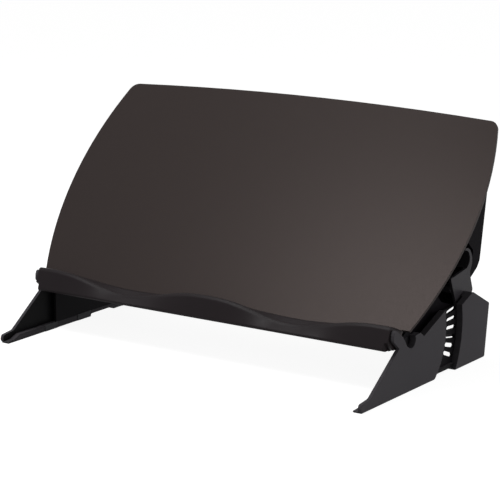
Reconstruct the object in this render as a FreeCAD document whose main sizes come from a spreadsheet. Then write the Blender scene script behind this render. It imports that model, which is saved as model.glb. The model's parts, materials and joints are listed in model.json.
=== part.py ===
import FreeCAD, Part
import math
import os

from FreeCAD import Placement, Rotation, Vector

# Wide in-line document holder: a curved-sided board with a wavy paper ledge, tilting on a steel
# rod between two wedge brackets and held by squeeze latches in radial ratchet slits.
# Frame: x to the right, y to the back, z up, z = 0 on the desk, x = 0 on the symmetry plane.
# Level pieces are drawn from a datum at the front end of the front foot, then moved back by
# datum_back. Tilting pieces are drawn on the pivot: v up the board, w square to it towards
# the reader. Lengths are millimetres and angles are degrees.

SIZES = [
    ("datum_back", 123.61, "foot datum ahead of the middle of the footprint"),
    ("overall_width", 420.3, "over the outer faces of the two brackets"),
    ("pivot_back", 87.5, "rod axis behind the foot datum"),
    ("pivot_height", 46.0, "rod axis above the desk"),
    ("tilt_rest", 47.8, "slope of the board as it stands"),
    ("rod_radius", 4.0, "steel pivot rod"),
    ("running_fit", 0.05, "radial play of a turning bore"),
    ("side_gap", 0.3, "play between pieces that slide past each other"),
    # bracket
    ("plate_wall", 3.5, "bracket outer plate"),
    ("bracket_depth", 9.0, "outer face to inner rim of a bracket"),
    ("rim_wall", 2.3, "ribs and flange inside a bracket"),
    ("foot_height", 0.8, "rubber sole under a bracket"),
    ("arch_height", 2.6, "underside of the base between the two soles"),
    ("flange_height", 6.0, "top of the flange along the base"),
    ("flange_start", 18.5, "where the flange has risen to full height"),
    ("clip_wall", 0.55, "tabs that clip a sole over the flange"),
    ("clip_height", 6.6, "top of those tabs"),
    ("base_length", 225.2, "foot datum to the rear end of the base"),
    ("rear_lean", 7.6, "how far the rear edge leans back"),
    ("rear_height", 52.4, "top of the rear edge"),
    ("apex_back", 200.3, "highest point of the bracket, from the foot datum"),
    ("apex_height", 69.8, "highest point of the bracket, above the desk"),
    ("brow_angle", 22.1, "slope of the top edge ahead of the channel"),
    ("brow_back", 108.6, "front end of that edge"),
    ("brow_height", 47.0, "height of the edge there"),
    ("toe_reach", 1.0, "toe tip ahead of the foot datum"),
    ("toe_height", 8.2, "top of the toe"),
    ("ramp_foot_back", 15.5, "lower end of the sloping front edge"),
    ("ramp_foot_height", 9.9, "height of that end"),
    ("ramp_top_back", 64.2, "upper end of the sloping front edge"),
    ("ramp_top_height", 45.0, "height of that end"),
    ("guard_back", 54.3, "front edge of the guard at the ends of the ledge"),
    ("guard_low", 53.7, "lower end of that edge"),
    ("guard_height", 64.4, "top of the guard"),
    ("notch_radius", 7.3, "notch that shows the pivot"),
    ("channel_inner", 62.0, "inner radius of the arc channel about the pivot"),
    ("channel_outer", 93.0, "outer radius of the arc channel"),
    # ratchet plate
    ("ratchet_wall", 2.6, "black slotted plate inside each bracket"),
    ("ratchet_reach", 106.0, "outer radius of that plate about the pivot"),
    ("boss_radius", 8.5, "boss round the rod"),
    ("boss_height", 1.85, "boss standing inward from the plate"),
    ("slit_inner", 74.0, "near end of a slit, from the pivot"),
    ("slit_outer", 92.0, "far end of a slit"),
    ("slit_width", 4.0, "width of a slit"),
    ("slit_pitch", 5.86, "angle between slits"),
    ("slit_count", 6, "number of slits"),
    ("slit_held", 4, "slit that holds the latch at rest, counted from the top"),
    ("slit_rest_angle", -9.6, "direction of that slit from the pivot"),
    ("plate_rivet_radius", 2.0, "flush rivet that holds the ratchet plate"),
    ("rivet_boss_wall", 1.6, "boss wall round a rivet"),
    # board
    ("board_thickness", 2.5, "front board"),
    ("board_offset", 15.5, "underside of the board above the rod axis"),
    ("board_drop", 6.3, "lower edge of the board below the rod axis"),
    ("board_rise", 231.9, "upper corners of the board above the rod axis"),
    ("board_bow", 6.6, "bow of the upper edge"),
    ("board_foot_half", 210.5, "half width at the lower edge, if it were not relieved"),
    ("board_waist_half", 235.0, "half width at the widest point"),
    ("board_waist_rise", 120.0, "place of the widest point up the slope"),
    ("board_top_half", 216.4, "half width at the upper corners"),
    ("board_corner", 11.0, "radius of the upper corners"),
    ("relief_rise", 2.0, "top of the relief at the lower corners"),
    # ledge
    ("ledge_gap", 0.6, "ledge end to bracket plate"),
    ("chin_relief", 3.8, "cut-back of the chin at each end of the ledge"),
    ("chin_relief_drop", 20.0, "top of that cut-back below the rod axis"),
    ("wave_length", 194.0, "crest to crest of the wavy ledge"),
    ("wave_section_count", 17, "sections lofted along the ledge"),
    ("wave_sharpness", 1.3, "flattens the crests of the wave"),
    ("chin_drop", 26.6, "lowest edge of the ledge below the rod axis"),
    ("chin_offset", 27.4, "chin of the ledge in front of the rod axis"),
    ("dip_drop", 18.2, "front edge of a dip below the rod axis"),
    ("dip_offset", 26.9, "front edge of a dip in front of the rod axis"),
    ("crest_rise", 9.7, "crest above dip, along the slope"),
    ("crest_offset", 9.3, "crest ahead of dip, square to the slope"),
    ("lip_rise", 1.6, "shelf above the lower edge of the board, in the dips"),
    ("lip_wave", 3.9, "more of it at the middle crest"),
    ("lip_wave_end", 6.4, "more of it at the end crests"),
    # arms and rails
    ("arm_width", 14.2, "depth of an arm across the holder"),
    ("arm_skin", 3.5, "outer wall of an arm"),
    ("arm_wall", 2.5, "other walls of an arm"),
    ("arm_gap", 12.95, "bracket outer face to arm outer face"),
    ("hub_radius", 8.0, "hub of an arm"),
    ("rail_wall", 2.0, "sheet of the two cross rails"),
    ("rail_depth", 4.6, "depth of a rail"),
    ("rail_width", 26.0, "width of a rail"),
    ("rail_overlap", 7.0, "how far a rail reaches into an arm"),
    ("lower_rail_rise", -1.0, "middle of the lower rail up the slope"),
    ("upper_rail_rise", 196.0, "middle of the upper rail up the slope"),
    ("frame_screw_radius", 1.5, "screw through rail, arm and board"),
    ("frame_screw_head", 3.1, "radius over the corners of its hexagon head"),
    ("frame_screw_head_height", 1.6, "height of its head"),
    ("frame_screw_bite", 1.4, "how far it enters the board"),
    ("ledge_screw_bite", 5.0, "how far a ledge screw enters the ledge"),
    ("ledge_screw_drop", 9.0, "ledge screws below the rod axis"),
    # latch
    ("latch_wall", 3.0, "side plate of a latch"),
    ("latch_pin_radius", 2.0, "pin of a latch"),
    ("latch_pin_rise", 85.0, "pin up the slope from the rod axis"),
    ("latch_pin_offset", -50.3, "pin square to the slope from the rod axis"),
    ("latch_hub_radius", 4.6, "hub of a latch"),
    ("paddle_width", 12.0, "finger paddle, reaching inward"),
    ("tooth_thickness", 2.2, "tooth that drops in a slit"),
    ("tooth_reach", 79.0, "near end of the tooth, from the rod axis"),
    ("shank_inner", 98.5, "inner edge of the latch shank, from the rod axis"),
    ("shank_outer", 110.0, "outer edge of the latch shank"),
]

doc = FreeCAD.newDocument("DocumentHolder")
sheet = doc.addObject("Spreadsheet::Sheet", "Sizes")
for row, (alias, value, note) in enumerate(SIZES, 1):
    sheet.set(f"A{row}", alias)
    sheet.set(f"B{row}", str(value))
    sheet.set(f"C{row}", note)
    sheet.setAlias(f"B{row}", alias)
doc.recompute()


def size(alias):
    """Number in the sheet's cell of that name."""
    return float(sheet.get(alias))


# ---------------------------------------------------------------- outlines in a sketch plane

def wire(edges):
    return Part.Wire(Part.__sortEdges__(edges))


def face(edges):
    """Flat region inside a closed outline, facing up its sketch's normal."""
    region = Part.Face(wire(edges))
    if region.normalAt(0, 0).z < 0:
        region = Part.Face(Part.Wire([edge.reversed() for edge in reversed(region.Edges)]))
    return region


def line(start, end):
    return Part.LineSegment(Vector(*start), Vector(*end)).toShape()


def arc(start, middle, end):
    return Part.Arc(Vector(*start), Vector(*middle), Vector(*end)).toShape()


def polar(centre, radius, angle):
    """Point at a radius and angle from a centre."""
    turn = math.radians(angle)
    return (centre[0] + radius * math.cos(turn), centre[1] + radius * math.sin(turn))


def rounded(corners):
    """Edges of a closed outline through (a, b, radius) corners, each rounded by its radius."""
    starts, ends, bends = [], [], []
    total = len(corners)
    for index, (a, b, radius) in enumerate(corners):
        here = Vector(a, b)
        before = (Vector(*corners[index - 1][:2]) - here).normalize()
        after = (Vector(*corners[(index + 1) % total][:2]) - here).normalize()
        half = before.getAngle(after) / 2
        run = radius / math.tan(half) if radius else 0.0
        starts.append(here + before * run)
        ends.append(here + after * run)
        if radius:
            inward = (before + after).normalize()
            bends.append(here + inward * (radius / math.sin(half) - radius))
        else:
            bends.append(None)
    edges = []
    for index in range(total):
        if bends[index]:
            edges.append(Part.Arc(starts[index], bends[index], ends[index]).toShape())
        nearest = starts[(index + 1) % total]
        if ends[index].distanceToPoint(nearest) > 1e-6:
            edges.append(Part.LineSegment(ends[index], nearest).toShape())
    return edges


def disc(centre, radius):
    return Part.Face(Part.Wire(Part.Circle(Vector(*centre), Vector(0, 0, 1), radius).toShape()))


def rectangle(left, bottom, right, top):
    return face(rounded([(left, bottom, 0), (right, bottom, 0), (right, top, 0), (left, top, 0)]))


def merged(shape, *others):
    """One flat region from several that touch or overlap."""
    result = shape.fuse(list(others)) if others else shape
    unified = Part.Shell(result.Faces).removeSplitter()
    return Part.makeCompound(unified.Faces)


def inset(region, distance):
    """Region shrunk by a distance, or grown by a negative one."""
    shrunk = [field.makeOffset2D(-distance) for field in region.Faces]
    return shrunk[0] if len(shrunk) == 1 else Part.makeCompound(shrunk)


# ---------------------------------------------------------------- bodies

def new_body(label, frame):
    body = doc.addObject("PartDesign::Body", label)
    body.Label = label
    body.Placement = frame
    return body


def region_geometry(region):
    """Sketch lines and arcs along the borders of a flat region."""
    shapes = []
    for edge in region.Edges:
        first = edge.valueAt(edge.FirstParameter)
        last = edge.valueAt(edge.LastParameter)
        if isinstance(edge.Curve, Part.Line):
            shapes.append(Part.LineSegment(first, last))
        elif first.distanceToPoint(last) < 1e-6:
            shapes.append(Part.Circle(edge.Curve.Center, Vector(0, 0, 1), edge.Curve.Radius))
        else:
            middle = edge.valueAt((edge.FirstParameter + edge.LastParameter) / 2)
            shapes.append(Part.Arc(first, middle, last))
    return shapes


def sketch_on(body, role, offset, region):
    """Sketch of a region on one of the body's own origin planes, moved along its normal."""
    plane = next(item for item in body.Origin.OriginFeatures if item.Role == role)
    sketch = body.newObject("Sketcher::SketchObject", f"{body.Label}_sketch")
    sketch.AttachmentSupport = [(plane, "")]
    sketch.MapMode = "FlatFace"
    sketch.setExpression(".AttachmentOffset.Base.z", offset)
    sketch.addGeometry(region_geometry(region), False)
    return sketch


def pad(body, role, offset, region, length):
    """Region raised along the plane's normal, from a bound offset by a bound length."""
    feature = body.newObject("PartDesign::Pad", f"{body.Label}_pad")
    feature.Profile = sketch_on(body, role, offset, region)
    feature.setExpression("Length", length)
    feature.Refine = True
    body.Tip = feature
    return feature


def pocket(body, role, offset, region, depth):
    """Region cut against the plane's normal, from a bound offset by a bound depth."""
    feature = body.newObject("PartDesign::Pocket", f"{body.Label}_pocket")
    feature.Profile = sketch_on(body, role, offset, region)
    feature.setExpression("Length", depth)
    feature.Refine = True
    body.Tip = feature
    return feature


def cylinder(label, radius, height, frame):
    """Cylinder bound to the sheet, standing along the z of its frame."""
    solid = doc.addObject("Part::Cylinder", label)
    solid.setExpression("Radius", radius)
    solid.setExpression("Height", height)
    solid.Placement = frame
    return solid


def mirrored(source, label):
    """The same piece on the left side."""
    copy = doc.addObject("Part::Mirroring", label)
    copy.Source = source
    copy.Normal = Vector(1, 0, 0)
    copy.Label = label
    return copy


def group(label, members):
    """Identical fasteners that share one name."""
    compound = doc.addObject("Part::Compound", label)
    compound.Links = members
    compound.Label = label
    return compound


# ---------------------------------------------------------------- places that pieces share

OUTER = "Sizes.overall_width / 2"
PLATE_IN = f"{OUTER} - Sizes.plate_wall"
RIM_IN = f"{OUTER} - Sizes.bracket_depth"
RATCHET_OUT = f"{RIM_IN} + Sizes.ratchet_wall"
ARM_OUT = f"{OUTER} - Sizes.arm_gap"
ARM_IN = f"{ARM_OUT} - Sizes.arm_width"

half_width = size("overall_width") / 2
plate_in = half_width - size("plate_wall")
rim_in = half_width - size("bracket_depth")
arm_out = half_width - size("arm_gap")
arm_in = arm_out - size("arm_width")
pivot = (size("pivot_back"), size("pivot_height"))
ROOT = Placement(Vector(0, -size("datum_back"), 0), Rotation())
BOARD = Placement(
    Vector(0, pivot[0] - size("datum_back"), pivot[1]),
    Rotation(Vector(1, 0, 0), size("tilt_rest")),
)
ALONG_X = Rotation(Vector(0, 1, 0), 90)


# ---------------------------------------------------------------- brackets

def floor_crossing(radius):
    """Where a circle about the pivot meets the underside of the bracket, behind the pivot."""
    rise = pivot[1] - size("foot_height")
    return pivot[0] + math.sqrt(radius**2 - rise**2)


def meets_line(radius, start, slope):
    """Angle at which a circle about the pivot crosses a rising line from a start point."""
    turn = math.radians(slope)
    away = (start[0] - pivot[0], start[1] - pivot[1])
    along = away[0] * math.cos(turn) + away[1] * math.sin(turn)
    run = -along + math.sqrt(along**2 - away[0]**2 - away[1]**2 + radius**2)
    reach = (away[0] + run * math.cos(turn), away[1] + run * math.sin(turn))
    return math.degrees(math.atan2(reach[1], reach[0]))


def front_outline():
    """Side profile of a bracket ahead of the channel: toe, ramp, guard, notch, nub and brow."""
    floor = size("foot_height")
    inner = size("channel_inner")
    brow = (size("brow_back"), size("brow_height"))
    brow_end = meets_line(inner, brow, size("brow_angle"))
    floor_end = floor_crossing(inner)
    floor_angle = -math.degrees(math.asin((pivot[1] - floor) / inner))
    saddle = (pivot[0] + 14.6, pivot[1] + 5.6)
    nub = (pivot[0] + 5.0, pivot[1] + 5.0)
    notch_floor = (pivot[0] - 1.3, pivot[1] - 5.4)
    notch_front = (pivot[0] - 8.5, pivot[1] - 2.6)
    guard_back = size("guard_back")
    guard_top = size("guard_height")
    corners = [
        (*polar(pivot, inner, brow_end), 0),
        (*brow, 2.0),
        (*saddle, 2.2),
        (*nub, 0),
        (*notch_floor, 0),
        (*notch_front, 0),
        (guard_back + 16.2, guard_top - 9.6, 8.0),
        (guard_back + 2.6, guard_top, 2.6),
        (guard_back + 0.4, guard_top - 5.0, 0),
        (guard_back, size("guard_low"), 3.0),
        (size("ramp_top_back"), size("ramp_top_height"), 0),
        (size("ramp_foot_back"), size("ramp_foot_height"), 8.0),
        (0.6, size("toe_height"), 2.5),
        (-size("toe_reach"), size("toe_height") / 2, 2.0),
        (1.0, floor, 0),
        (floor_end, floor, 0),
    ]
    edges = rounded(corners)
    chord = edges.pop()
    edges.append(arc(
        (floor_end, floor),
        polar(pivot, inner, (floor_angle + brow_end) / 2),
        chord.valueAt(chord.LastParameter),
    ))
    plate = face(edges)
    notch = disc((notch_floor[0], pivot[1] + 1.9), size("notch_radius"))
    return plate.cut(notch)


def rear_outline():
    """Side profile of a bracket behind the channel."""
    floor = size("foot_height")
    outer = size("channel_outer")
    floor_end = floor_crossing(outer)
    floor_angle = -math.degrees(math.asin((pivot[1] - floor) / outer))
    top_angle = 9.6
    base = size("base_length")
    corners = [
        (floor_end, floor, 0),
        (base, floor, 1.0),
        (base + size("rear_lean"), size("rear_height"), 2.0),
        (size("apex_back"), size("apex_height"), 4.0),
        (*polar(pivot, outer, top_angle), 0),
    ]
    edges = rounded(corners)
    edges.pop()
    edges.append(arc(
        polar(pivot, outer, top_angle),
        polar(pivot, outer, (floor_angle + top_angle) / 2),
        (floor_end, floor),
    ))
    return face(edges)


def plate_rivet_points():
    """Rivets of a ratchet plate: one ahead of the channel and one behind it."""
    behind = (size("channel_outer") + size("ratchet_reach")) / 2 + 0.6
    ahead = size("channel_inner") - 9.0
    return [polar(pivot, ahead, -24.0), polar(pivot, behind, -8.0)]


def flange():
    """Side profile of the flange: low at the toe, and arched between the two soles."""
    floor = size("foot_height")
    arch = size("arch_height")
    top = size("flange_height")
    start = size("flange_start")
    end = size("base_length") - size("rim_wall")
    arch_front = floor_crossing(size("channel_inner"))
    arch_back = floor_crossing(size("channel_outer"))
    return face(rounded([
        (0.0, floor, 0),
        (arch_front, floor, 0),
        (arch_front + 2.0, arch, 0),
        (arch_back - 2.0, arch, 0),
        (arch_back, floor, 0),
        (end, floor, 0),
        (end, top, 0),
        (start, top, 1.5),
        (start / 2, floor + 1.6, 0),
        (0.0, floor + 1.0, 0),
    ]))


def bracket():
    """Wedge bracket: outer plate in two fields, flange, ribs and rivet bosses."""
    body = new_body("right_bracket", ROOT)
    front = front_outline()
    rear = rear_outline()
    rim = size("rim_wall")
    foot_edge = flange()
    reach = disc(pivot, size("ratchet_reach") + size("side_gap"))
    rear_ribs = rear.cut(inset(rear, rim))
    deep = merged(foot_edge, rear_ribs.cut(reach))
    pad(body, "YZ_Plane", RIM_IN, deep, "Sizes.bracket_depth - Sizes.plate_wall")
    seat = size("flange_height")
    behind_ledge = rectangle(pivot[0] - size("notch_radius") - 5.7, seat,
                             size("base_length"), size("apex_height") * 2)
    front_ribs = front.cut(inset(front, rim)).common(behind_ledge)
    boss_radius = size("plate_rivet_radius") + size("rivet_boss_wall")
    bosses = [disc(point, boss_radius) for point in plate_rivet_points()]
    shallow = merged(foot_edge, front_ribs, rear_ribs.common(reach), *bosses)
    for point in plate_rivet_points():
        shallow = shallow.cut(disc(point, size("plate_rivet_radius") + size("running_fit")))
    depth = "Sizes.bracket_depth - Sizes.plate_wall - Sizes.ratchet_wall"
    pad(body, "YZ_Plane", RATCHET_OUT, shallow, depth)
    pad(body, "YZ_Plane", PLATE_IN, Part.makeCompound([front, rear]), "Sizes.plate_wall")
    return body


# ---------------------------------------------------------------- ratchet plates

def ratchet_outline():
    """Profile of a ratchet plate, seated inside the bracket's flange and ribs."""
    seat = size("flange_height") + 0.2
    reach = size("ratchet_reach")
    top_angle = 8.2
    seat_angle = -math.degrees(math.asin((pivot[1] - seat) / reach))
    front = pivot[0] - 12.6
    top_end = polar(pivot, reach, top_angle)
    seat_end = polar(pivot, reach, seat_angle)
    brow = (size("brow_back"), size("brow_height"))
    corners = [
        (front, seat, 1.0),
        (*seat_end, 0),
        (*top_end, 0),
        (pivot[0] + 60.0, pivot[1] + 14.2, 3.0),
        (brow[0], brow[1] - 2.6, 4.0),
        (front, pivot[1] - 4.0, 1.0),
    ]
    edges = [
        edge for edge in rounded(corners)
        if edge.CenterOfMass.distanceToPoint(
            (Vector(*seat_end) + Vector(*top_end)) / 2) > 1e-3
    ]
    edges.append(arc(seat_end, polar(pivot, reach, (seat_angle + top_angle) / 2), top_end))
    return merged(face(edges), disc(pivot, size("boss_radius")))


def ratchet_plate():
    """Slotted plate: it carries the rod in a boss and catches the latch in radial slits."""
    body = new_body("right_ratchet_plate", ROOT)
    plate = ratchet_outline()
    for point in plate_rivet_points():
        plate = plate.cut(disc(point, size("plate_rivet_radius") + size("running_fit")))
    plate = plate.cut(disc(pivot, size("rod_radius")))
    pad(body, "YZ_Plane", RIM_IN, plate, "Sizes.ratchet_wall")
    boss = disc(pivot, size("boss_radius")).cut(disc(pivot, size("rod_radius")))
    pad(body, "YZ_Plane", f"{RIM_IN} - Sizes.boss_height", boss, "Sizes.boss_height")
    doc.recompute()
    cut_slits(body)
    return body


def cut_slits(body):
    """One slit, drawn level on the pivot and turned to the top slit, then a polar pattern."""
    inner = size("slit_inner")
    outer = size("slit_outer")
    half = size("slit_width") / 2
    cut_back = 0.7 * half
    slot = face(rounded([
        (inner, -half + cut_back, 0),
        (inner + cut_back, -half, 0),
        (outer - cut_back, -half, 0),
        (outer, -half + cut_back, 0),
        (outer, half - cut_back, 0),
        (outer - cut_back, half, 0),
        (inner + cut_back, half, 0),
        (inner, half - cut_back, 0),
    ]))
    cut = pocket(body, "YZ_Plane", RATCHET_OUT, slot, "Sizes.ratchet_wall")
    sketch = cut.Profile[0]
    sketch.setExpression(".AttachmentOffset.Base.x", "Sizes.pivot_back")
    sketch.setExpression(".AttachmentOffset.Base.y", "Sizes.pivot_height")
    first = "Sizes.slit_rest_angle + (Sizes.slit_held - 1) * Sizes.slit_pitch"
    sketch.setExpression(".AttachmentOffset.Rotation.Angle", first)
    doc.recompute()
    pattern = body.newObject("PartDesign::PolarPattern", "slits")
    pattern.Originals = [cut]
    pattern.Axis = (sketch, ["N_Axis"])
    pattern.Reversed = True
    pattern.setExpression("Angle", "Sizes.slit_pitch * (Sizes.slit_count - 1)")
    pattern.setExpression("Occurrences", "Sizes.slit_count")
    body.Tip = pattern


def plate_rivets():
    """Two flush rivets through a ratchet plate into the bracket's bosses."""
    rivets = [
        cylinder(f"plate_rivet_{index}", "Sizes.plate_rivet_radius",
                 "Sizes.bracket_depth - Sizes.plate_wall - 0.5",
                 ROOT.multiply(Placement(Vector(rim_in, *point), ALONG_X)))
        for index, point in enumerate(plate_rivet_points())
    ]
    return group("right_plate_rivets", rivets)


# ---------------------------------------------------------------- rod, washers and feet

def pivot_rod():
    start = Vector(-(rim_in + size("ratchet_wall")), *pivot)
    length = "Sizes.overall_width - 2 * Sizes.bracket_depth + 2 * Sizes.ratchet_wall"
    return cylinder("pivot_rod", "Sizes.rod_radius", length,
                    ROOT.multiply(Placement(start, ALONG_X)))


def thrust_washer():
    """Washer on the rod between an arm's hub and the ratchet plate's boss."""
    body = new_body("right_thrust_washer", ROOT)
    bore = size("rod_radius") + size("running_fit")
    ring = disc(pivot, size("boss_radius")).cut(disc(pivot, bore))
    offset = f"{ARM_OUT} + Sizes.side_gap"
    length = "Sizes.arm_gap - Sizes.bracket_depth - Sizes.boss_height - Sizes.side_gap"
    pad(body, "YZ_Plane", offset, ring, length)
    return body


def foot(label, start, end, clips):
    """Rubber sole under a bracket, with tabs that clip over the flange's inner face."""
    body = new_body(label, ROOT)
    sole = rectangle(start, 0, end, size("foot_height"))
    pad(body, "YZ_Plane", RIM_IN, sole, "Sizes.bracket_depth - 0.6")
    tabs = [rectangle(front, 0, back, size("clip_height")) for front, back in clips]
    pad(body, "YZ_Plane", f"{RIM_IN} - Sizes.clip_wall", merged(*tabs), "Sizes.clip_wall")
    return body


# ---------------------------------------------------------------- board and ledge

def board_outline():
    """Front board: bowed sides and top, and lower corners relieved for the brackets."""
    low = -size("board_drop")
    rise = size("relief_rise")
    relieved = plate_in - size("ledge_gap")
    top = size("board_rise")
    top_half = size("board_top_half")
    waist = (size("board_waist_half"), size("board_waist_rise"))
    foot_half = size("board_foot_half")
    right = arc((foot_half, low), waist, (top_half, top))
    left = arc((-foot_half, low), (-waist[0], waist[1]), (-top_half, top))
    upper = arc((-top_half, top), (0, top + size("board_bow")), (top_half, top))
    lower = line((-foot_half, low), (foot_half, low))
    blank = face([right, left, upper, lower])
    corners = rectangle(relieved, low - 5, foot_half + 20, rise)
    others = rectangle(-foot_half - 20, low - 5, -relieved, rise)
    return blank.cut([corners, others])


def screw_across():
    """Distance of the frame's screws from the middle: half way along a rail's overlap."""
    return arm_in + size("rail_overlap") / 2


def front_board():
    body = new_body("front_board", BOARD)
    pad(body, "XY_Plane", "Sizes.board_offset", board_outline(), "Sizes.board_thickness")
    radius = size("frame_screw_radius") + size("running_fit")
    rise = size("upper_rail_rise")
    holes = [disc((side * screw_across(), rise), radius) for side in (-1, 1)]
    offset = "Sizes.board_offset + Sizes.frame_screw_bite + 0.1"
    pocket(body, "XY_Plane", offset, Part.makeCompound(holes), "Sizes.frame_screw_bite + 0.1")
    doc.recompute()
    fillet_corners(body)
    return body


def fillet_corners(body):
    """Round the two upper corners of the board."""
    top = size("board_rise")
    base = body.Tip
    names = []
    for number, edge in enumerate(base.Shape.Edges, 1):
        box = edge.BoundBox
        upright = box.XLength < 1e-3 and box.YLength < 1e-3 and abs(box.XMin) > top / 2
        if upright and abs(box.YMax - top) < 0.5:
            names.append(f"Edge{number}")
    feature = body.newObject("PartDesign::Fillet", "board_corners")
    feature.Base = (base, names)
    feature.setExpression("Radius", "Sizes.board_corner")
    body.Tip = feature


def ledge_section(across):
    """Section of the ledge at one place: chin, leaning face, crowned crest and shelf."""
    wave = 0.5 * (1 + math.cos(2 * math.pi * across / size("wave_length")))
    hump = 1 - (1 - wave) ** size("wave_sharpness")
    back = size("board_offset")
    front = back + size("board_thickness")
    low = -size("board_drop")
    swell = size("lip_wave")
    if abs(across) > size("wave_length") / 2:
        swell = size("lip_wave_end")
    shelf = low + size("lip_rise") + swell * wave
    chin = (-size("chin_drop"), size("chin_offset"))
    crest = (-size("dip_drop") + size("crest_rise") * hump,
             size("dip_offset") + size("crest_offset") * hump)
    crown = (crest[0] + 4.6, crest[1] - 2.3)
    heel = (low - 11.0, back)
    under = (chin[0] + 1.3, chin[1] - 2.9)
    face_low = (chin[0] + 1.2, chin[1] + 2.1)
    peak = ((crest[0] + crown[0]) / 2 + 0.6, (crest[1] + crown[1]) / 2 + 1.0)
    corners = [heel, under, chin, face_low, crest, peak, crown, (shelf, front), (low, front),
               (low, back)]
    section = Part.makePolygon([Vector(*corner) for corner in corners + [heel]])
    section.Placement = Placement(Vector(across, 0, 0), Rotation(Vector(1, 1, 1), 120))
    return section


def ledge():
    """Wavy ledge, lofted along the holder, with its chin cut back at both ends."""
    half = plate_in - size("ledge_gap")
    count = int(size("wave_section_count"))
    places = [half * (2 * index / (count - 1) - 1) for index in range(count)]
    solid = Part.makeLoft([ledge_section(place) for place in places], True, False)
    low = -size("chin_drop") - 1.0
    high = size("board_waist_rise")
    step = -size("chin_relief_drop")
    chin_half = half - size("chin_relief")
    front_view = face(rounded([
        (-chin_half, low, 0),
        (chin_half, low, 0),
        (chin_half, step, 1.0),
        (half, step, 0),
        (half, high, 0),
        (-half, high, 0),
        (-half, step, 0),
        (-chin_half, step, 1.0),
    ]))
    solid = solid.common(front_view.extrude(Vector(0, 0, size("board_waist_rise"))))
    for across in (screw_across(), -screw_across()):
        start = Vector(across, -size("ledge_screw_drop"), size("board_offset"))
        radius = size("frame_screw_radius") + size("running_fit")
        solid = solid.cut(Part.makeCylinder(radius, size("ledge_screw_bite") + 0.2, start))
    feature = doc.addObject("Part::Feature", "ledge")
    feature.Shape = solid
    feature.Placement = BOARD
    feature.Label = "ledge"
    return feature


# ---------------------------------------------------------------- arms and rails

def arm_outline():
    """Side profile of an arm: hub at the rod, seat under the board, belly behind the latch."""
    seat = size("board_offset")
    rear = [
        (224.0, seat, 0),
        (213.0, -12.0, 0),
        (195.0, -40.9, 30.0),
        (134.0, -78.5, 6.0),
        (126.0, -79.2, 5.0),
        (111.7, -75.1, 0),
        (77.7, -67.9, 8.0),
        (*polar((0, 0), size("hub_radius"), -126.8), 0),
        (-18.0, seat - 4.5, 0),
        (-18.0, seat, 0),
    ]
    return merged(face(rounded(rear)), disc((0, 0), size("hub_radius")))


def latch_well():
    """Opening in an arm's outer wall where the latch sits and the finger reaches."""
    pin = (size("latch_pin_rise"), size("latch_pin_offset"))
    return face(rounded([
        (pin[0] - 19.0, pin[1] + 33.3, 3.0),
        (pin[0] + 48.0, pin[1] + 33.3, 3.0),
        (pin[0] + 49.0, pin[1] - 10.7, 4.0),
        (pin[0] + 27.0, pin[1] - 17.7, 4.0),
        (pin[0] - 11.0, pin[1] - 12.2, 0),
        (pin[0] - 20.0, pin[1] + 8.3, 0),
    ]))


def arm():
    """Arm moulding: outer wall, rim, hub, and a closed well for the latch and its pin."""
    body = new_body("right_arm", BOARD)
    outline = arm_outline()
    well = latch_well()
    wall = size("arm_wall")
    bore = disc((0, 0), size("rod_radius") + size("running_fit"))
    well_outer = inset(well, -wall).common(outline)
    rim = merged(outline.cut(inset(outline, wall)), well_outer.cut(well),
                 disc((0, 0), size("hub_radius")))
    pad(body, "YZ_Plane", ARM_IN, rim.cut(bore), "Sizes.arm_width - Sizes.arm_skin")
    pad(body, "YZ_Plane", f"{ARM_OUT} - Sizes.arm_skin", outline.cut([well, bore]),
        "Sizes.arm_skin")
    pin = (size("latch_pin_rise"), size("latch_pin_offset"))
    pin_hole = disc(pin, size("latch_pin_radius"))
    pad(body, "YZ_Plane", ARM_IN, well_outer.cut(pin_hole), "Sizes.arm_wall")
    radius = size("frame_screw_radius") + size("running_fit")
    rises = (size("upper_rail_rise"), -size("ledge_screw_drop"))
    holes = [disc((screw_across(), rise), radius) for rise in rises]
    pocket(body, "XY_Plane", "Sizes.board_offset", Part.makeCompound(holes), "Sizes.arm_wall")
    return body


def rail(label, rise, screw_rise):
    """Channel-section cross rail, its ends lying under the arms' seats."""
    body = new_body(label, BOARD)
    top = size("board_offset") - size("arm_wall")
    half = size("rail_width") / 2
    wall = size("rail_wall")
    middle = size(rise)
    section = rectangle(middle - half, top - size("rail_depth"), middle + half, top).cut(
        rectangle(middle - half + wall, top - 20, middle + half - wall, top - wall))
    length = f"Sizes.overall_width - 2 * Sizes.arm_gap - 2 * Sizes.arm_width"
    offset = f"-({length}) / 2 - Sizes.rail_overlap"
    pad(body, "YZ_Plane", offset, section, f"{length} + 2 * Sizes.rail_overlap")
    radius = size("frame_screw_radius") + size("running_fit")
    holes = [disc((side * screw_across(), screw_rise), radius) for side in (-1, 1)]
    pocket(body, "XY_Plane", "Sizes.board_offset - Sizes.arm_wall",
           Part.makeCompound(holes), "Sizes.rail_wall")
    return body


def frame_screw(name, across, rise, bite):
    """Hexagon screw from inside a rail, through the arm's seat, into what lies above."""
    low = size("board_offset") - size("arm_wall") - size("rail_wall")
    head = size("frame_screw_head_height")
    head_place = BOARD.multiply(Placement(Vector(across, rise, low - head), Rotation()))
    shank_place = BOARD.multiply(Placement(Vector(across, rise, low - head / 2), Rotation()))
    shank_length = f"Sizes.frame_screw_head_height / 2 + Sizes.rail_wall + Sizes.arm_wall + {bite}"
    cap = doc.addObject("Part::Prism", f"{name}_head")
    cap.Polygon = 6
    cap.setExpression("Circumradius", "Sizes.frame_screw_head")
    cap.setExpression("Height", "Sizes.frame_screw_head_height")
    cap.Placement = head_place
    shank = cylinder(f"{name}_shank", "Sizes.frame_screw_radius", shank_length, shank_place)
    screw = doc.addObject("Part::MultiFuse", name)
    screw.Shapes = [cap, shank]
    return screw


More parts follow.
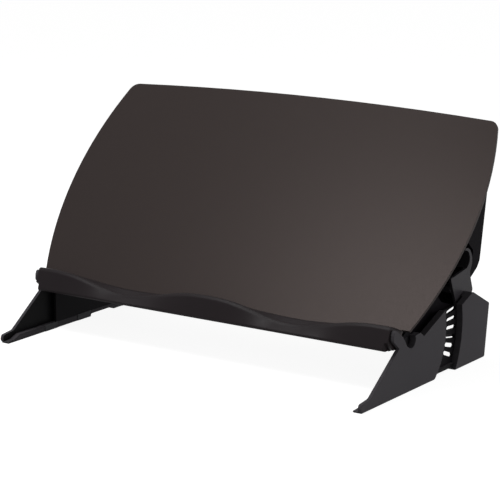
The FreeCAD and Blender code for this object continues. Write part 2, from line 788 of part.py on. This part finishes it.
def ledge_screws():
    """Two screws that hold the lower rail, the arms and the ledge together."""
    drop = -size("ledge_screw_drop")
    screws = [
        frame_screw(f"ledge_screw_{side}", across, drop, "Sizes.ledge_screw_bite")
        for side, across in (("right", screw_across()), ("left", -screw_across()))
    ]
    return group("ledge_screws", screws)


# ---------------------------------------------------------------- latches

def latch_plate():
    """Side plate of a latch: finger lobe, body, hidden shank and radial tooth."""
    slit = size("slit_rest_angle") - size("tilt_rest")
    inner = size("shank_inner")
    outer = size("shank_outer")
    end = slit - 3.4
    top = -41.0
    shank = face([
        arc(polar((0, 0), inner, end), polar((0, 0), inner, (end + top) / 2),
            polar((0, 0), inner, top)),
        line(polar((0, 0), inner, top), polar((0, 0), outer, top)),
        arc(polar((0, 0), outer, top), polar((0, 0), outer, (end + top) / 2),
            polar((0, 0), outer, end)),
        line(polar((0, 0), outer, end), polar((0, 0), inner, end)),
    ])
    plate = face(rounded([
        (87.8, -36.9, 1.2),
        (74.4, -64.6, 0.8),
        (78.5, -76.0, 3.0),
        (102.5, -82.0, 3.0),
        (111.6, -64.6, 8.0),
        (116.0, -62.6, 3.0),
        (117.0, -57.2, 1.0),
        (111.8, -56.6, 5.0),
    ]))
    tooth = tooth_outline(slit)
    return merged(plate, shank, tooth, paddle_outline())


def tooth_outline(slit):
    """Radial tooth in line with the slit that holds it."""
    half = size("tooth_thickness") / 2
    blade = rectangle(size("tooth_reach"), -half, size("shank_inner") + 4.0, half)
    blade.rotate(Vector(0, 0, 0), Vector(0, 0, 1), slit)
    return blade


def paddle_outline():
    """Curved finger paddle, hollow towards the board."""
    outer = [
        arc((111.0, -63.9), (121.9, -60.9), (127.6, -51.5)),
        arc((127.6, -51.5), (127.2, -45.0), (123.6, -40.6)),
        line((123.6, -40.6), (122.4, -41.6)),
        arc((122.4, -41.6), (124.9, -48.5), (122.3, -54.2)),
        arc((122.3, -54.2), (118.0, -56.9), (111.8, -56.6)),
        line((111.8, -56.6), (111.0, -63.9)),
    ]
    return face(outer)


def latch():
    """Squeeze latch: side plate with its tooth, hub on the pin and finger paddle."""
    body = new_body("right_latch", BOARD)
    pin = (size("latch_pin_rise"), size("latch_pin_offset"))
    bore = disc(pin, size("latch_pin_radius") + size("running_fit"))
    plate_start = f"{ARM_OUT} + Sizes.side_gap"
    pad(body, "YZ_Plane", plate_start, latch_plate().cut(bore), "Sizes.latch_wall")
    hub = disc(pin, size("latch_hub_radius")).cut(bore)
    hub_length = "Sizes.arm_width - Sizes.arm_wall"
    hub_start = f"{ARM_IN} + Sizes.arm_wall + Sizes.side_gap"
    pad(body, "YZ_Plane", hub_start, hub, hub_length)
    paddle_start = f"{ARM_OUT} + Sizes.side_gap - Sizes.paddle_width"
    pad(body, "YZ_Plane", paddle_start, paddle_outline(), "Sizes.paddle_width")
    return body


def latch_pin():
    """Pin pressed in the arm; the latch rocks on it."""
    pin = (size("latch_pin_rise"), size("latch_pin_offset"))
    place = BOARD.multiply(Placement(Vector(arm_in, *pin), ALONG_X))
    length = "Sizes.arm_width + Sizes.side_gap + Sizes.latch_wall"
    return cylinder("right_latch_pin", "Sizes.latch_pin_radius", length, place)


# ---------------------------------------------------------------- assembly and export

def right_side():
    """Pieces that the holder has on both sides, built for the right."""
    base = size("base_length")
    front_end = floor_crossing(size("channel_inner"))
    rear_start = floor_crossing(size("channel_outer"))
    return [
        bracket(),
        ratchet_plate(),
        plate_rivets(),
        thrust_washer(),
        foot("right_front_foot", 1.0, front_end, [(57.0, 76.0), (front_end - 21.0, front_end)]),
        foot("right_rear_foot", rear_start, base, [(rear_start + 14.0, rear_start + 34.0)]),
        arm(),
        frame_screw("right_frame_screw", screw_across(), size("upper_rail_rise"),
                    "Sizes.frame_screw_bite"),
        latch(),
        latch_pin(),
    ]


pieces = right_side()
pieces += [mirrored(piece, piece.Label.replace("right", "left")) for piece in list(pieces)]
pieces += [
    pivot_rod(),
    front_board(),
    ledge(),
    rail("lower_rail", "lower_rail_rise", -size("ledge_screw_drop")),
    rail("upper_rail", "upper_rail_rise", size("upper_rail_rise")),
    ledge_screws(),
]
doc.recompute()

for item in doc.Objects:
    if "Invalid" in item.State or "Error" in item.State:
        raise RuntimeError(f"{item.Label} failed: {item.State}")
for piece in pieces:
    if piece.Shape.isNull() or not piece.Shape.isValid():
        raise RuntimeError(f"{piece.Label} has no valid shape")

os.makedirs("parts", exist_ok=True)
for piece in pieces:
    piece.Shape.exportStep(f"parts/{piece.Label}.step")

whole = Part.makeCompound([piece.Shape for piece in pieces]).BoundBox
print("box", [round(value, 2) for value in
              (whole.XMin, whole.XMax, whole.YMin, whole.YMax, whole.ZMin, whole.ZMax)])
for piece in pieces:
    print(piece.Label, len(piece.Shape.Solids), round(piece.Shape.Volume, 1))
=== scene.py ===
"""Looks of a wide in-line document holder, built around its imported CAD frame.

Lengths are metres, in the frame of the CAD model: x to the right, y to the back, z up.
Angles are degrees. Colours are sRGB from 0 to 255, until linear() converts them.
"""
import json
import math

import bpy
from mathutils import Matrix, Vector


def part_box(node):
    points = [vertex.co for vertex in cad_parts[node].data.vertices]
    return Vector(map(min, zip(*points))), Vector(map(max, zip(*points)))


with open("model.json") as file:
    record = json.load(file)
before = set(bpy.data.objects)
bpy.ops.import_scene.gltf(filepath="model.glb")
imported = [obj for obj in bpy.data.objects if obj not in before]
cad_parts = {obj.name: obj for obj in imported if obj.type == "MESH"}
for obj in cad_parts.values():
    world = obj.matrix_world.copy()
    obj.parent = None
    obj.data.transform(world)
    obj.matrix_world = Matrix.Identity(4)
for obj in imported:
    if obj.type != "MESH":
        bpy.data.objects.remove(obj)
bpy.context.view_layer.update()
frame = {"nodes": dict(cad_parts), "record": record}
NODES = frame["nodes"]

# ------------------------------------------------------------------ named values

# Camera: where it stands, how far it turns left from +y, how far it looks down, and its roll.
CAMERA_PLACE = Vector((1.1673, -1.67591, 0.5733))
CAMERA_AZIMUTH = 34.742
CAMERA_ELEVATION = 13.1
CAMERA_ROLL = -0.151
CAMERA_LENS = 155.0     # millimetres
SENSOR_WIDTH = 36.0     # millimetres
CAMERA_REACH = 30.0     # how far it sees

# Inner wall of a bracket's plate, which takes painted shade: a flat face that looks along x. The
# two brackets mirror.
PLATE_WALL = 0.0035
INNER_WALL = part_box("right_bracket")[1].x - PLATE_WALL  # its distance from the middle
WALL_SLACK = 0.0008
FACING_SLACK = 0.05     # of a normal's x, which is 1 on a wall that faces along x

# Moulded plastic. Scales are features per metre.
MOTTLE_SCALE = 38.0
GRAIN_RELIEF = 0.00003
GRAIN_STRENGTH = 0.5
SHEEN_GRAIN_SHARE = 0.35        # scale of the uneven sheen, as a share of the grain's
SHEEN_SPREAD = (-0.04, 0.05)    # how far its roughness strays from the middle
EDGE_SAMPLES = 6

# Steel. Streaks are features per metre along x, y and z.
EVEN_SPECKS = (900.0, 900.0, 900.0)
STREAKS_ALONG_X = (60.0, 1800.0, 1800.0)
STREAK_SHADE = 0.86
STREAK_RELIEF = 0.00001
STREAK_STRENGTH = 0.25
STEEL_SPREAD = (-0.06, 0.08)    # how far its roughness strays from the middle

NOISE_MIDDLE = (0.3, 0.7)       # the range that most of a noise falls in

# Linear colours with their alpha.
WHITE = (1.0, 1.0, 1.0, 1.0)
BOARD_SHEEN = (1.0, 0.83, 0.78, 1.0)

# Stage.
FLOOR_SIZE = 14.0
FLOOR_PAINT = 0.3       # grey of the floor to the light
FLOOR_LIFT = 0.9        # glow of the floor where it is seen
SURROUND_LIGHT = 0.3    # strength of the surroundings where they light

# Lamps: place and power in watts. Each is a square aimed at the middle of the holder.
LAMP_SIDE = 0.4
LAMP_TARGET = Vector((0.0, 0.0, 0.1))
LAMPS = {
    "key": ((-0.4, -0.56, 1.15), 8.8),
    "right_end": ((1.1, 0.35, 0.25), 3.6),
    "top": ((-0.3, 0.2, 0.9), 1.1),
    "fill": ((0.2, -0.6, 0.25), 0.5),
}


# ------------------------------------------------------------------ camera

def add_camera():
    """Camera that looks along +y turned left by the azimuth, and down by the elevation."""
    turn = math.radians(CAMERA_AZIMUTH)
    down = math.radians(CAMERA_ELEVATION)
    roll = math.radians(CAMERA_ROLL)
    ahead = Vector((-math.sin(turn) * math.cos(down), math.cos(turn) * math.cos(down),
                    -math.sin(down)))
    level = Vector((math.cos(turn), math.sin(turn), 0.0))
    upward = level.cross(ahead)
    right = level * math.cos(roll) + upward * math.sin(roll)
    top = upward * math.cos(roll) - level * math.sin(roll)
    data = bpy.data.cameras.new("camera")
    data.lens = CAMERA_LENS
    data.sensor_width = SENSOR_WIDTH
    data.sensor_fit = "HORIZONTAL"
    data.clip_end = CAMERA_REACH
    camera = bpy.data.objects.new("camera", data)
    turned = Matrix((right, top, -ahead)).transposed().to_4x4()
    camera.matrix_world = Matrix.Translation(CAMERA_PLACE) @ turned
    bpy.context.scene.collection.objects.link(camera)
    bpy.context.scene.camera = camera


# ------------------------------------------------------------------ colours

def linear(red, green, blue):
    """Linear colour of an sRGB colour given as 0 to 255."""
    def channel(value):
        value /= 255.0
        if value <= 0.04045:
            return value / 12.92
        return ((value + 0.055) / 1.055) ** 2.4
    return (channel(red), channel(green), channel(blue), 1.0)


def shaded(colour, share):
    """A linear colour with its channels times a share."""
    return tuple(channel * share for channel in colour[:3]) + (1.0,)


# ------------------------------------------------------------------ node helpers

def feed(tree, source, socket):
    """Links another node's output to a socket, or sets the socket to a plain value."""
    if isinstance(source, bpy.types.NodeSocket):
        tree.links.new(source, socket)
    else:
        socket.default_value = source


def calculate(tree, operation, *values):
    """Result of a math node; each value is a number or another node's output."""
    node = tree.nodes.new("ShaderNodeMath")
    node.operation = operation
    for value, socket in zip(values, node.inputs):
        feed(tree, value, socket)
    return node.outputs["Value"]


def mixed(tree, factor, first, second):
    """Colour between two colours, by the factor; each is a plain colour or an output."""
    node = tree.nodes.new("ShaderNodeMix")
    node.data_type = "RGBA"
    feed(tree, factor, node.inputs["Factor"])
    feed(tree, first, node.inputs["A"])
    feed(tree, second, node.inputs["B"])
    return node.outputs["Result"]


def noise(tree, scale, detail, roughness=0.5, stretch=None):
    """Noise in the object's own coordinates, which stretch scales along x, y and z."""
    place = tree.nodes.new("ShaderNodeTexCoord").outputs["Object"]
    if stretch:
        mapping = tree.nodes.new("ShaderNodeMapping")
        mapping.inputs["Scale"].default_value = stretch
        tree.links.new(place, mapping.inputs["Vector"])
        place = mapping.outputs["Vector"]
    texture = tree.nodes.new("ShaderNodeTexNoise")
    texture.inputs["Scale"].default_value = scale
    texture.inputs["Detail"].default_value = detail
    texture.inputs["Roughness"].default_value = roughness
    tree.links.new(place, texture.inputs["Vector"])
    return texture.outputs["Fac"]


def spread(tree, value, middle, around):
    """Maps a noise to values around a middle, from its lowest to its highest offset."""
    node = tree.nodes.new("ShaderNodeMapRange")
    node.inputs["From Min"].default_value, node.inputs["From Max"].default_value = NOISE_MIDDLE
    node.inputs["To Min"].default_value = middle + around[0]
    node.inputs["To Max"].default_value = middle + around[1]
    tree.links.new(value, node.inputs["Value"])
    return node.outputs["Result"]


def bumped(tree, height, strength, relief, normal=None):
    """Normal of a surface with a fine relief, on top of another normal if one is given."""
    node = tree.nodes.new("ShaderNodeBump")
    node.inputs["Strength"].default_value = strength
    node.inputs["Distance"].default_value = relief
    tree.links.new(height, node.inputs["Height"])
    if normal:
        tree.links.new(normal, node.inputs["Normal"])
    return node.outputs["Normal"]


def new_material(name):
    """Empty node material; returns the material and its node tree."""
    material = bpy.data.materials.new(name)
    material.use_nodes = True
    material.node_tree.nodes.clear()
    return material, material.node_tree


def surface_shader(tree):
    """Principled shader linked to the material's output."""
    shader = tree.nodes.new("ShaderNodeBsdfPrincipled")
    output = tree.nodes.new("ShaderNodeOutputMaterial")
    tree.links.new(shader.outputs["BSDF"], output.inputs["Surface"])
    return shader


# ------------------------------------------------------------------ materials

def painted_shade_mask(tree):
    """Mask of the painted shade: 1 on the inner wall of a bracket's plate, by its place and its
    facing, and 0 elsewhere.
    """
    coordinates = tree.nodes.new("ShaderNodeTexCoord")
    tests = []
    for output, target, slack in (("Object", INNER_WALL, WALL_SLACK),
                                  ("Normal", 1.0, FACING_SLACK)):
        split = tree.nodes.new("ShaderNodeSeparateXYZ")
        tree.links.new(coordinates.outputs[output], split.inputs["Vector"])
        sideways = calculate(tree, "ABSOLUTE", split.outputs["X"])
        tests.append(calculate(tree, "COMPARE", sideways, target, slack))
    return calculate(tree, "MULTIPLY", *tests)


def moulded(name, colour, gloss, roughness=0.48, mottle=0.06, grain=2600.0,
            rounding=0.0004, painted_wall_shade=None, sheen_tint=WHITE):
    """Moulded plastic: fine spark-eroded grain, faint mottling and softened edges.

    A shade colour, where given, is painted shade: it darkens the inner wall of a bracket's
    plate, where shade falls.
    """
    material, tree = new_material(name)
    shader = surface_shader(tree)
    shader.inputs["Specular IOR Level"].default_value = gloss
    shader.inputs["Specular Tint"].default_value = sheen_tint
    base = linear(*colour)
    paint = mixed(tree, noise(tree, MOTTLE_SCALE, detail=5.0, roughness=0.6),
                  shaded(base, 1 - mottle), shaded(base, 1 + mottle))
    if painted_wall_shade:
        # Painted shade: the inner wall of a bracket's plate takes a darker colour where shade
        # falls.
        paint = mixed(tree, painted_shade_mask(tree), paint, linear(*painted_wall_shade))
    tree.links.new(paint, shader.inputs["Base Color"])
    uneven = noise(tree, grain * SHEEN_GRAIN_SHARE, detail=3.0, roughness=0.55)
    tree.links.new(spread(tree, uneven, roughness, SHEEN_SPREAD), shader.inputs["Roughness"])
    edge = tree.nodes.new("ShaderNodeBevel")
    edge.inputs["Radius"].default_value = rounding
    edge.samples = EDGE_SAMPLES
    height = noise(tree, grain, detail=2.0, roughness=0.6)
    normal = bumped(tree, height, GRAIN_STRENGTH, GRAIN_RELIEF, edge.outputs["Normal"])
    tree.links.new(normal, shader.inputs["Normal"])
    return material


def metal(name, colour, roughness, streaks):
    """Blackened steel with fine specks, or with streaks along its length."""
    material, tree = new_material(name)
    shader = surface_shader(tree)
    shader.inputs["Metallic"].default_value = 1.0
    base = linear(*colour)
    wear = noise(tree, scale=1.0, detail=4.0, stretch=streaks)
    tree.links.new(mixed(tree, wear, shaded(base, STREAK_SHADE), base),
                   shader.inputs["Base Color"])
    tree.links.new(spread(tree, wear, roughness, STEEL_SPREAD), shader.inputs["Roughness"])
    tree.links.new(bumped(tree, wear, STREAK_STRENGTH, STREAK_RELIEF), shader.inputs["Normal"])
    return material


def finish_nodes():
    """Gives every CAD node its finish, by the record's material slots."""
    finishes = {
        # The brackets' inner walls get a near-black painted shade.
        "bracket_plastic": moulded("bracket_grain", (61, 59, 62), gloss=0.04,
                                   painted_wall_shade=(13, 13, 14)),
        "ratchet_plastic": moulded("ratchet_smooth", (17, 16, 18), gloss=0.03, roughness=0.55),
        "screw_steel": metal("black_oxide", (38, 38, 40), roughness=0.42, streaks=EVEN_SPECKS),
        "washer_plastic": moulded("black_nylon", (34, 34, 35), gloss=0.1, roughness=0.45),
        "foot_rubber": moulded("foot_rubber", (66, 66, 68), gloss=0.15, roughness=0.75,
                               grain=1500.0),
        "rod_steel": metal("blackened_steel", (42, 41, 43), roughness=0.4,
                           streaks=STREAKS_ALONG_X),
        "board_plastic": moulded("board_grain", (42, 36, 35), gloss=0.1, roughness=0.33,
                                 mottle=0.03, sheen_tint=BOARD_SHEEN),
        "ledge_plastic": moulded("ledge_grain", (30, 25, 27), gloss=0.08, roughness=0.42,
                                 rounding=0.0024),
        "arm_plastic": moulded("arm_smooth", (11, 9, 12), gloss=0.02, roughness=0.55),
        "rail_steel": moulded("rail_powder_coat", (32, 32, 33), gloss=0.1, roughness=0.6,
                              grain=900.0),
        "latch_plastic": moulded("latch_grain", (46, 44, 47), gloss=0.08, roughness=0.4),
    }
    for part in frame["record"]["subparts"]:
        node = NODES[part["node"]]
        node.data.materials.clear()
        node.data.materials.append(finishes[part["material_slot"]])


# ------------------------------------------------------------------ stage

def seen_directly(tree):
    """1 for rays of the camera, and for those that a gloss or glass surface sends on."""
    path = tree.nodes.new("ShaderNodeLightPath")
    seen = path.outputs["Is Camera Ray"]
    for ray in ("Is Glossy Ray", "Is Transmission Ray"):
        seen = calculate(tree, "MAXIMUM", seen, path.outputs[ray])
    return seen


def floor_paint():
    """Grey paint to the light, lifted towards white where it is seen, so a soft shadow stays."""
    material, tree = new_material("floor_paint")
    output = tree.nodes.new("ShaderNodeOutputMaterial")
    paint = tree.nodes.new("ShaderNodeBsdfDiffuse")
    paint.inputs["Color"].default_value = shaded(WHITE, FLOOR_PAINT)
    lift = tree.nodes.new("ShaderNodeEmission")
    lift.inputs["Color"].default_value = WHITE
    strength = calculate(tree, "MULTIPLY", seen_directly(tree), FLOOR_LIFT)
    tree.links.new(strength, lift.inputs["Strength"])
    both = tree.nodes.new("ShaderNodeAddShader")
    tree.links.new(paint.outputs["BSDF"], both.inputs[0])
    tree.links.new(lift.outputs["Emission"], both.inputs[1])
    tree.links.new(both.outputs["Shader"], output.inputs["Surface"])
    return material


def add_floor():
    """Plain floor that keeps the holder's soft shadow."""
    bpy.ops.mesh.primitive_plane_add(size=FLOOR_SIZE, location=(0.0, 0.0, 0.0))
    floor = bpy.context.object
    floor.name = "floor"
    floor.data.materials.append(floor_paint())


def white_light(tree, strength):
    """Even white light from all sides."""
    node = tree.nodes.new("ShaderNodeBackground")
    node.inputs["Color"].default_value = WHITE
    node.inputs["Strength"].default_value = strength
    return node.outputs["Background"]


def add_world():
    """Even surroundings: white where they are seen, dimmer where they light."""
    world = bpy.data.worlds.new("studio")
    bpy.context.scene.world = world
    world.use_nodes = True
    tree = world.node_tree
    tree.nodes.clear()
    output = tree.nodes.new("ShaderNodeOutputWorld")
    mix = tree.nodes.new("ShaderNodeMixShader")
    tree.links.new(seen_directly(tree), mix.inputs["Fac"])
    tree.links.new(white_light(tree, SURROUND_LIGHT), mix.inputs[1])
    tree.links.new(white_light(tree, 1.0), mix.inputs[2])
    tree.links.new(mix.outputs["Shader"], output.inputs["Surface"])


def add_lamps():
    """Key high over the reader's left shoulder, low lamp at the right end, top lamp and fill."""
    for name, (place, power) in LAMPS.items():
        data = bpy.data.lights.new(name, "AREA")
        data.shape = "SQUARE"
        data.size = LAMP_SIDE
        data.energy = power
        lamp = bpy.data.objects.new(name, data)
        lamp.location = place
        aim = LAMP_TARGET - Vector(place)
        lamp.rotation_euler = aim.to_track_quat("-Z", "Y").to_euler()
        lamp.visible_camera = False
        bpy.context.scene.collection.objects.link(lamp)


# ------------------------------------------------------------------ build

add_camera()
finish_nodes()
add_floor()
add_world()
add_lamps()
bpy.context.scene.view_settings.view_transform = "Standard"
